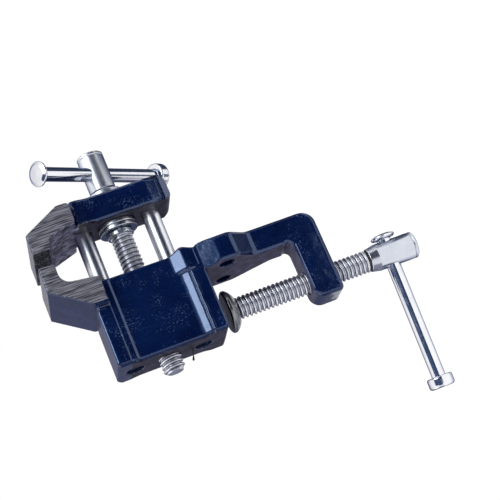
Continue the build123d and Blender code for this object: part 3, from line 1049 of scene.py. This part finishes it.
def make_handle(body, bar_node, knob_node, head_side):
    """A bar with a lens-shaped formed head at one end and a pressed knob at the other."""
    axis = np.array(joint_axes[body + "_slide"]) * head_side
    knob = node_points(knob_node)
    middle = (knob.max(0) + knob.min(0)) / 2
    knob_low, knob_high, knob_radius = span_along(knob_node, middle, axis)
    bar_low, bar_high, head_radius = span_along(bar_node, middle, axis)
    bar_radius, bar_chamfer = 2 * MM, 0.3 * MM
    head_foot, head_back = bar_high - 1.6 * MM, bar_high - 1.5 * MM
    widest_low, widest_high = bar_high - 1.1 * MM, bar_high - 0.6 * MM
    outline = [
        (bar_low, 0), (bar_low, bar_radius - bar_chamfer), (bar_low + bar_chamfer, bar_radius),
        (head_foot, bar_radius), (head_back, head_radius - 0.5 * MM), (widest_low, head_radius),
        (widest_high, head_radius), (bar_high - 0.12 * MM, head_radius - 1.1 * MM), (bar_high, 0),
    ]
    corners = {3: 0.2 * MM, 4: 0.4 * MM, 5: 0.5 * MM, 6: 0.5 * MM, 7: 0.8 * MM}
    turned_piece(body + "_bar", outline, corners, middle, axis, PLATING, body, bar_node)
    socket_radius, socket_end = bar_radius + 0.02 * MM, knob_high - 1.9 * MM
    outline = [
        (knob_low, 0), (knob_low, knob_radius), (knob_high, knob_radius), (knob_high, socket_radius),
        (socket_end, socket_radius), (socket_end, 0),
    ]
    corners = {1: 1 * MM, 2: 0.7 * MM, 3: 0.25 * MM}
    turned_piece(body + "_knob", outline, corners, middle, axis, PLATING, body, knob_node)


make_body()
make_drip()
make_jaw()
make_lead_screw()
make_clamp_screw()
make_rod("rod_top", "guide_rod_upper")
make_rod("rod_bottom", "guide_rod_lower")
make_washer("washer_front", "thrust_washer_front")
make_washer("washer_rear", "thrust_washer_rear")
make_clip()
make_pad()
make_handle("main_handle", "lead_handle_bar", "lead_handle_knob", 1)
make_handle("bench_handle", "clamp_handle_bar", "clamp_handle_knob", -1)


# Floor, light and camera

# The floor lies below the clamp screw's lowest pose; the studio's cards stay under the rest pose.
pad_travel = -joints["pad_slide"]["range_m"][0]
rest_level = cad_box[0][2] - 1 * MM
floor_level = rest_level - pad_travel
wall_foot = rest_level + 2 * MM
mat_level = rest_level + 1 * MM
object_centre = Vector((0, -0.015, -0.005))
white = (1, 1, 1)


def bare_tree(owner):
    """The empty node tree of a new material or world."""
    owner.use_nodes = True
    owner.node_tree.nodes.clear()
    return owner.node_tree


def glow(tree, kind, color, strength):
    node = tree.nodes.new(kind)
    fill(node, Color=(*color, 1), Strength=strength)
    return node.outputs[0]


def seen_directly(tree):
    """1 for camera, glossy and transmission rays, else 0."""
    path = tree.nodes.new("ShaderNodeLightPath")
    result = path.outputs["Is Camera Ray"]
    for ray in ("Is Glossy Ray", "Is Transmission Ray"):
        result = calculate(tree, "MAXIMUM", result, path.outputs[ray])
    return result


def show_mix(tree, kind, share, first, second):
    """Shows a mix of two shaders; share is the second one's weight."""
    mix = tree.nodes.new("ShaderNodeMixShader")
    for socket, source in zip(mix.inputs, (share, first, second)):
        tree.links.new(source, socket)
    tree.links.new(mix.outputs[0], tree.nodes.new(kind).inputs[0])


def make_floor():
    """A pale floor that camera, glossy and transmission rays see white, with the object's shadow."""
    size = 6
    white_share = 0.7
    white_strength = 1.24
    points = [(x * size, y * size, floor_level) for x, y in ((-1, -1), (1, -1), (1, 1), (-1, 1))]
    mesh = bpy.data.meshes.new("floor")
    mesh.from_pydata(points, [], [(0, 1, 2, 3)])
    floor = linked("floor", mesh)
    material = bpy.data.materials.new("pale_floor")
    tree = bare_tree(material)
    plain = tree.nodes.new("ShaderNodeBsdfDiffuse")
    fill(plain, Color=(0.8, 0.8, 0.8, 1))
    bright = glow(tree, "ShaderNodeEmission", white, white_strength)
    share = calculate(tree, "MULTIPLY", seen_directly(tree), white_share)
    show_mix(tree, "ShaderNodeOutputMaterial", share, plain.outputs[0], bright)
    mesh.materials.append(material)


def make_world():
    """A white world: softer as light, at the first strength, and plain white where it is seen."""
    strengths = (0.62, 1)
    world = bpy.data.worlds.new("studio")
    bpy.context.scene.world = world
    tree = bare_tree(world)
    soft, seen = [glow(tree, "ShaderNodeBackground", white, strength) for strength in strengths]
    show_mix(tree, "ShaderNodeOutputWorld", seen_directly(tree), soft, seen)


def make_lamp(name, direction, distance, size, power):
    """A soft rectangular lamp that faces the object; size is (width, height)."""
    light = bpy.data.lights.new(name, "AREA")
    light.shape = "RECTANGLE"
    light.size, light.size_y = size
    light.energy = power
    lamp = linked(name, light)
    direction = Vector(direction).normalized()
    lamp.location = object_centre + direction * distance
    lamp.rotation_euler = direction.to_track_quat("Z", "Y").to_euler()


def make_card(name, points, faces, color, strength):
    """A studio card that only reflections see."""
    mesh = bpy.data.meshes.new(name)
    mesh.from_pydata(points, [], faces)
    card = linked(name, mesh)
    material = bpy.data.materials.new(name)
    tree = bare_tree(material)
    output = tree.nodes.new("ShaderNodeOutputMaterial")
    tree.links.new(glow(tree, "ShaderNodeEmission", color, strength), output.inputs[0])
    mesh.materials.append(material)
    for ray in ("camera", "diffuse", "shadow", "transmission"):
        setattr(card, "visible_" + ray, False)


def angle_at(span, share):
    """An angle in radians between two in degrees."""
    return math.radians(span[0] + (span[1] - span[0]) * share)


def make_sheet(name, rows, color, strength):
    """A card through rows of points."""
    size = len(rows[0])
    faces = []
    for i in range(len(rows) - 1):
        for first in range(i * size, (i + 1) * size - 1):
            faces.append((first, first + 1, first + size + 1, first + size))
    make_card(name, [point for row in rows for point in row], faces, color, strength)


def ring_row(azimuths, radius, height, steps=48):
    """Points on part of a level circle, between two azimuths in degrees."""
    turns = [angle_at(azimuths, k / steps) for k in range(steps + 1)]
    return [Vector((math.cos(turn) * radius, math.sin(turn) * radius, height)) for turn in turns]


def make_wall(name, azimuths, inner, outer, top, color, strength):
    """A curved low wall with a mat at its foot."""
    corners = ((inner, wall_foot), (outer, wall_foot), (outer, top))
    make_sheet(name, [ring_row(azimuths, radius, height) for radius, height in corners], color, strength)


def make_flag(name, azimuths, elevations, radius, color, strength):
    """A curved card round the object, between two azimuths and two elevations in degrees."""
    steps = 24
    rows = []
    for i in range(steps + 1):
        rise = angle_at(elevations, i / steps)
        row = ring_row(azimuths, radius * math.cos(rise), radius * math.sin(rise), steps)
        rows.append([object_centre + point for point in row])
    make_sheet(name, rows, color, strength)


def make_mat(name, corners, color, strength):
    """A flat card under the object, with its corners as (x, y)."""
    points = [(x, y, mat_level) for x, y in corners]
    make_card(name, points, [tuple(range(len(corners)))], color, strength)


def make_camera():
    """The photo's camera, from a fit to the photo."""
    place = Vector((-0.351757, 0.094941, 0.065542))
    forward = Vector((0.93263, -0.29056, -0.21396)).normalized()
    right = Vector((-0.09249, 0.38064, -0.92009)).normalized()
    up = right.cross(forward).normalized()
    focal_pixels = 1358.46
    frame_pixels = 500
    lens = bpy.data.cameras.new("camera")
    lens.sensor_width = 36
    lens.lens = focal_pixels / frame_pixels * lens.sensor_width
    lens.clip_start = 0.01
    lens.clip_end = 50
    camera = linked("camera", lens)
    turn = Matrix((right, up, -forward)).transposed()
    camera.matrix_world = Matrix.Translation(place) @ turn.to_4x4()
    bpy.context.scene.camera = camera


dark_corners = [(-0.045, -0.075), (-0.09, -0.34), (0.16, -0.34), (0.075, -0.075)]
head_corners = [(-0.003, -0.006), (-0.022, -0.042), (0.03, -0.042), (0.005, -0.006)]
side_corners = [(0.005, 0.002), (0.05, -0.004), (0.07, 0.05), (0.028, 0.07), (0.012, 0.022)]

make_floor()
make_world()
make_lamp("soft_high", (-0.7, -0.36, 0.66), 0.6, (0.54, 0.22), 1.8)
make_lamp("soft_back", (0.2, 0.9, 0.5), 0.7, (0.5, 0.5), 0.8)
make_wall("near_card", (166, 232), 0.088, 0.6, 0.13, (0.2, 0.34, 1), 0.03)
make_flag("low_band", (190, 232), (11, 25), 0.62, (0.38, 0.67, 1), 0.5)
make_flag("side_flag", (148, 189), (6, 72), 0.5, (0.26, 0.46, 1), 0.16)
make_mat("dark_mat", dark_corners, (0.42, 0.6, 1), 0.12)
make_wall("far_wall", (290, 470), 0.1, 0.6, 0.26, (0.75, 0.75, 1), 0.29)
make_mat("head_mat", head_corners, (0.7, 0.8, 1), 0.22)
make_mat("side_mat", side_corners, (0.8, 0.78, 0.92), 0.55)
make_camera()

bpy.context.scene.view_settings.view_transform = "Standard"
